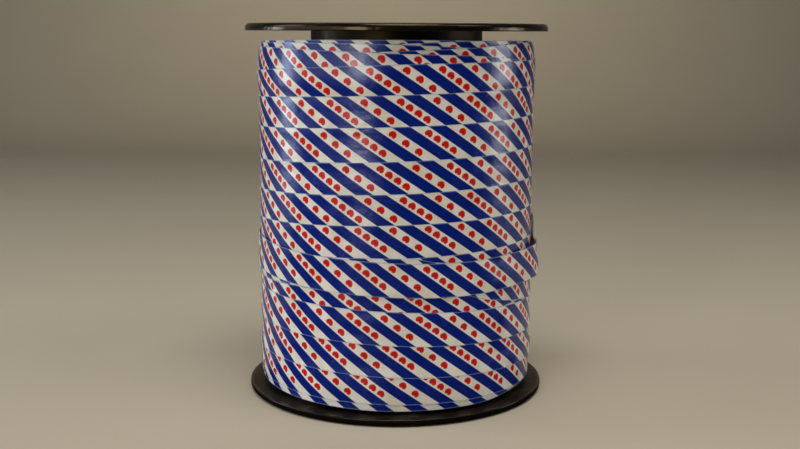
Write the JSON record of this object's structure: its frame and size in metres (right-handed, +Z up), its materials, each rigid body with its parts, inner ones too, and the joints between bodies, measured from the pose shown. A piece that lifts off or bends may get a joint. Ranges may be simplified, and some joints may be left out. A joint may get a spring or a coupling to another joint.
{
  "type": "curling ribbon on a spool",
  "caption": "Printed curling ribbon wound in lapping turns on a flanged plastic spool, its last turn loose and its cut end tucked under it.",
  "frame": {"origin": "centre of the lower flange's foot, on the spool's axis", "axes": "+Z up along the spool's axis, -Y towards the front of the picture, +X to the right, where the loose end is"},
  "size_m": [0.096, 0.096, 0.1176],
  "materials": {
    "spool": "moulded black polystyrene, semi-gloss, lightly scuffed",
    "ribbon": "glossy polypropylene film printed in blue and white slanting stripes with red hearts"
  },
  "bodies": {
    "root": {"spool_flange_lower": "spool", "spool_flange_upper": "spool", "spool_barrel": "spool", "ribbon_winding": "ribbon", "ribbon_loose_turn": "ribbon"}
  },
  "joints": []
}
